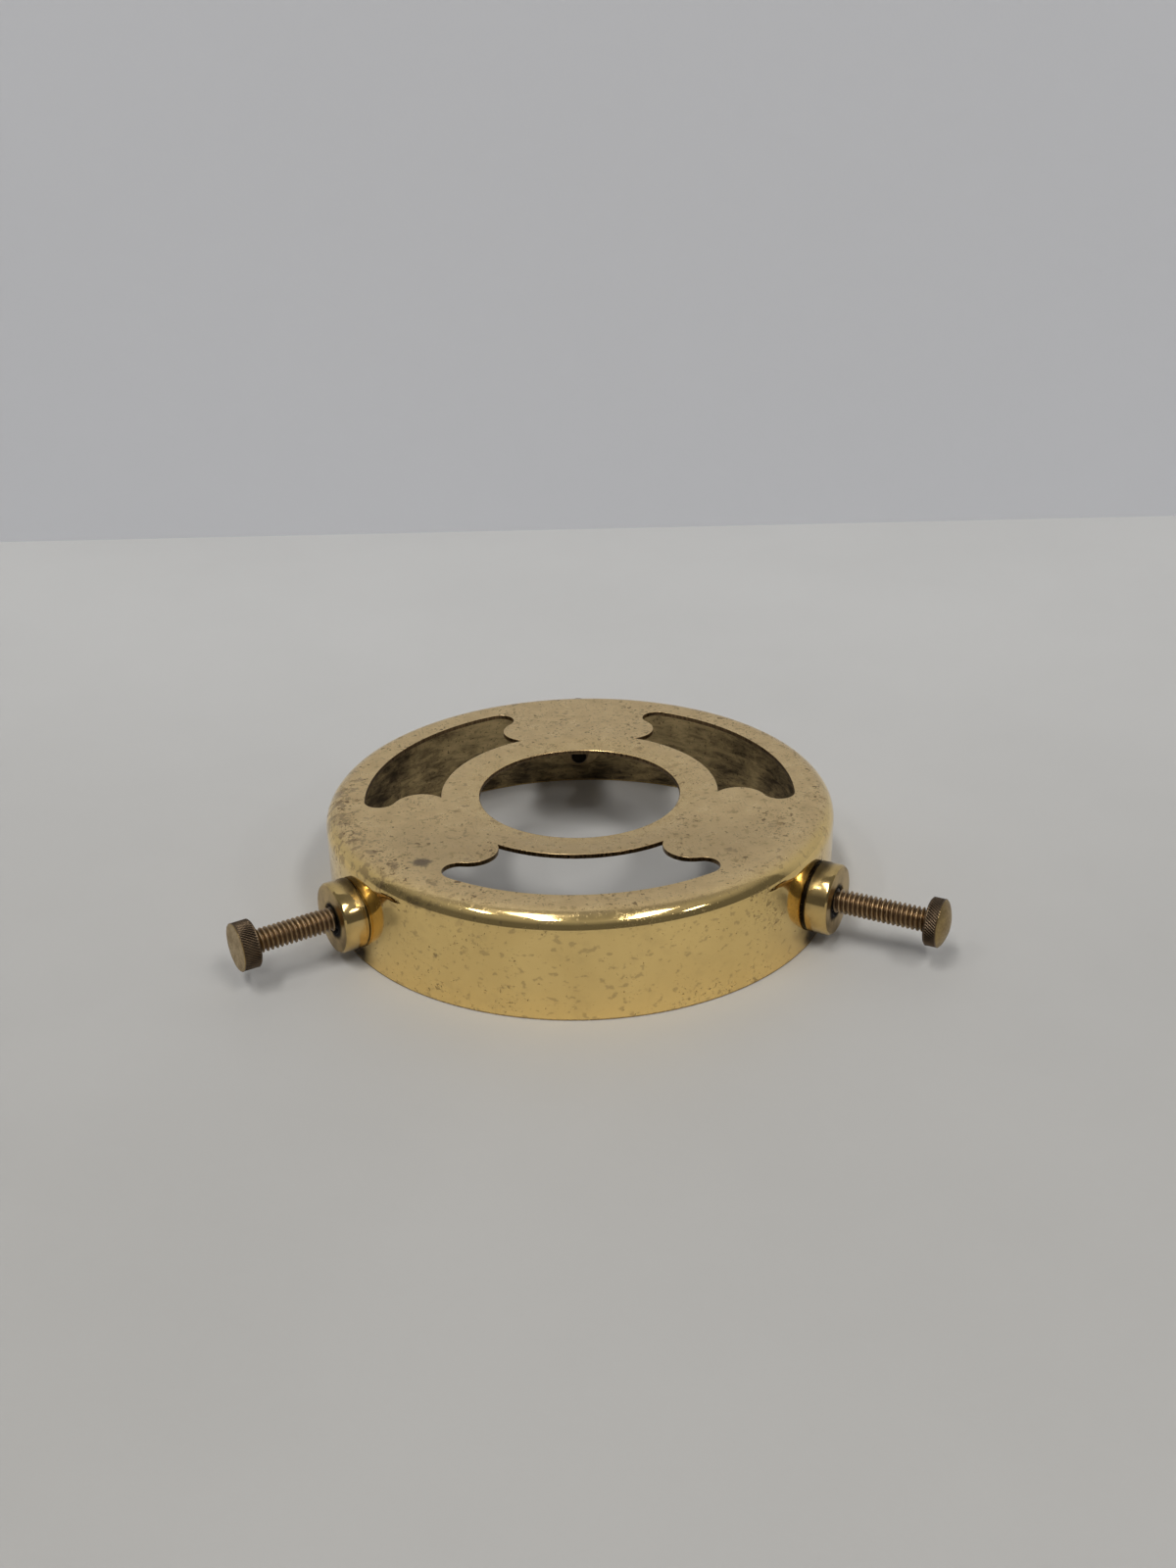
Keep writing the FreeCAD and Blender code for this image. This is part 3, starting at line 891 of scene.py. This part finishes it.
# Each boss: reach of the dirt all round, reach of the painted shade on the upper side, side of the
# mouth with the darker painted reflection
BOSS_DIRT_AND_SHADE = {"left": (0.0, 1.3, 1), "right": (0.3, 1.7, -1), "back": (0.1, 1.0, 0)}

# Each head: dome, chamfer, brightness of the face
HEAD_DETAILS = {"left": (0.02, 0.12, 1.0), "right": (0.95, 0.35, 0.9), "back": (0.08, 0.2, 0.95)}

point_finish = screw_brass("point_brass", 1.0, 0.0, 0.1, POINT_LENGTH)
for side in SIDES:
    on_axis = axis_matrix(side)
    boss_finish = boss_brass(side + "_boss_brass", *BOSS_DIRT_AND_SHADE[side])
    finish_object(side + "_boss_turning", boss_mesh(), [boss_finish], "gallery",
                  [side + "_boss"], sharp=30, matrix=on_axis)
    start = reach(side + "_screw_point", side_axis(side))[0]
    turn = Matrix.Rotation(math.tau * start / PITCH, 4, "Z")
    screwed = on_axis @ Matrix.Translation((0, 0, start * MM)) @ turn
    dome, chamfer, bright = HEAD_DETAILS[side]
    screw_finish = screw_brass(side + "_screw_brass", bright, dome, chamfer, BOSS_FACE - start)
    finish_object(side + "_thumbscrew_turning", thumbscrew_mesh(dome, chamfer), [screw_finish],
                  side + "_screw", [side + "_thumbscrew"], sharp=55, matrix=screwed)
    finish_object(side + "_point_turning", point_mesh(), [point_finish], side + "_screw_core",
                  [side + "_screw_point"], sharp=30, matrix=screwed)


# ---- surroundings ----------------------------------------------------------------------------------
WALL_Y = 212.0           # the pale wall's distance behind the cup's axis
WALL_TOP = 900.0
ROOM = 3000.0            # how far the floor and the wall go on


def stage_sheet(name, corners, material):
    """A flat quad of the surroundings."""
    mesh = bpy.data.meshes.new(name)
    mesh.from_pydata([Vector(c) * MM for c in corners], [], [(0, 1, 2, 3)])
    mesh.materials.append(material)
    sheet = bpy.data.objects.new(name, mesh)
    bpy.context.scene.collection.objects.link(sheet)


def wall_material():
    """Pale wall that is only there from the front, so that it never hides the object from behind."""
    f = Finish("wall_paint", 0.0)
    cloud = f.fade(f.noise(0.004, detail=4.0), 0.3, 0.7)
    colour = f.mix(cloud, (0.62, 0.63, 0.66), (0.605, 0.615, 0.645))
    material = f.set(colour, 0.8, f.bump(f.noise(0.8, detail=3.0), 0.02))
    tree = material.node_tree
    output = next(n for n in tree.nodes if n.type == "OUTPUT_MATERIAL")
    clear = tree.nodes.new("ShaderNodeBsdfTransparent")
    geometry = tree.nodes.new("ShaderNodeNewGeometry")
    mix = tree.nodes.new("ShaderNodeMixShader")
    tree.links.new(geometry.outputs["Backfacing"], mix.inputs[0])
    tree.links.new(f.shader.outputs[0], mix.inputs[1])
    tree.links.new(clear.outputs[0], mix.inputs[2])
    tree.links.new(mix.outputs[0], output.inputs["Surface"])
    return material


def floor_material():
    """Pale table top, with painted light: darker at the front and lighter towards the wall."""
    f = Finish("floor_paint", 0.0)
    cloud = f.fade(f.noise(0.012, detail=4.0), 0.3, 0.7)
    near = f.mix(cloud, (0.43, 0.424, 0.408), (0.41, 0.404, 0.388))
    far = f.mix(cloud, (0.57, 0.57, 0.56), (0.55, 0.55, 0.54))
    # Painted light: the table darkens towards the front.
    colour = f.mix(f.fade(f.y, -120.0, 200.0), near, far)
    return f.set(colour, 0.5, f.bump(f.noise(0.8, detail=3.0), 0.02))


floor_corners = [(-ROOM, -ROOM, RIM_Z), (ROOM, -ROOM, RIM_Z), (ROOM, ROOM, RIM_Z), (-ROOM, ROOM, RIM_Z)]
stage_sheet("floor", floor_corners, floor_material())
wall_corners = [(-ROOM, WALL_Y, RIM_Z), (ROOM, WALL_Y, RIM_Z)]
wall_corners += [(ROOM, WALL_Y, WALL_TOP), (-ROOM, WALL_Y, WALL_TOP)]
stage_sheet("wall", wall_corners, wall_material())

# Ceiling lights: direction from the object, size across and along in metres, watts
CEILING = 1.6            # metres above the object
LAMP_COLOUR = (1.0, 0.985, 0.96)
LAMPS = (((-0.516, -0.304, 0.801), 0.14, 0.30, 3.0),
         ((-0.225, -0.436, 0.871), 0.22, 1.0, 15.0),
         ((0.360, -0.528, 0.768), 0.27, 0.9, 16.0),
         ((0.655, -0.507, 0.560), 0.20, 0.45, 6.0))
for number, (direction, across, along, power) in enumerate(LAMPS):
    lamp = bpy.data.lights.new("ceiling_lamp_%d" % number, "AREA")
    lamp.shape = "RECTANGLE"
    lamp.size, lamp.size_y = across, along
    lamp.energy = power
    lamp.color = LAMP_COLOUR
    holder = bpy.data.objects.new(lamp.name, lamp)
    holder.location = Vector(direction) * CEILING / direction[2]
    bpy.context.scene.collection.objects.link(holder)

# Grey levels that the brass mirrors, from straight below (0) to straight above (1)
SKY = ((0.0, 0.40), (0.49, 0.34), (0.52, 0.14), (0.72, 0.15), (0.86, 0.42), (0.95, 0.30), (1.0, 0.22))
SKY_STRENGTH = 0.8
BLUE_SHARE = 1.02        # the greys are slightly cool


def make_world():
    """Dim room, as bands of grey by height."""
    world = bpy.data.worlds.new("room")
    world.use_nodes = True
    bpy.context.scene.world = world
    tree = world.node_tree
    tree.nodes.clear()
    background = tree.nodes.new("ShaderNodeBackground")
    background.inputs["Strength"].default_value = SKY_STRENGTH
    output = tree.nodes.new("ShaderNodeOutputWorld")
    tree.links.new(background.outputs[0], output.inputs[0])
    ramp = tree.nodes.new("ShaderNodeValToRGB")
    tree.links.new(ramp.outputs[0], background.inputs["Color"])
    direction = tree.nodes.new("ShaderNodeTexCoord")
    split = tree.nodes.new("ShaderNodeSeparateXYZ")
    tree.links.new(direction.outputs["Generated"], split.inputs[0])
    height = tree.nodes.new("ShaderNodeMapRange")
    height.inputs["From Min"].default_value = -1.0
    tree.links.new(split.outputs[2], height.inputs["Value"])
    tree.links.new(height.outputs[0], ramp.inputs[0])
    elements = ramp.color_ramp.elements
    while len(elements) < len(SKY):
        elements.new(0.5)
    for element, (position, level) in zip(elements, SKY):
        element.position = position
        element.color = (level, level, level * BLUE_SHARE, 1)


make_world()
scene = bpy.context.scene
scene.view_settings.view_transform = "Standard"
scene.view_settings.look = "None"

# ---- camera ----------------------------------------------------------------------------------------
CAMERA_PLACE = Vector((0.473, -255.540, 122.917))
PITCH_DOWN, YAW, ROLL = (math.radians(a) for a in (25.498, -0.2235, -1.2132))
forward = Vector((-math.sin(YAW) * math.cos(PITCH_DOWN), math.cos(YAW) * math.cos(PITCH_DOWN),
                  -math.sin(PITCH_DOWN)))
level = Vector((math.cos(YAW), math.sin(YAW), 0))
upright = level.cross(forward)
right = math.cos(ROLL) * level + math.sin(ROLL) * upright
up = math.cos(ROLL) * upright - math.sin(ROLL) * level
facing = Matrix((right, up, -forward)).transposed().to_4x4()
camera = bpy.data.objects.new("camera", bpy.data.cameras.new("camera"))
camera.data.lens = 38.25
camera.data.sensor_width = 36.0
camera.data.clip_start, camera.data.clip_end = 0.01, 20.0
camera.matrix_world = Matrix.Translation(CAMERA_PLACE * MM) @ facing
scene.collection.objects.link(camera)
scene.camera = camera
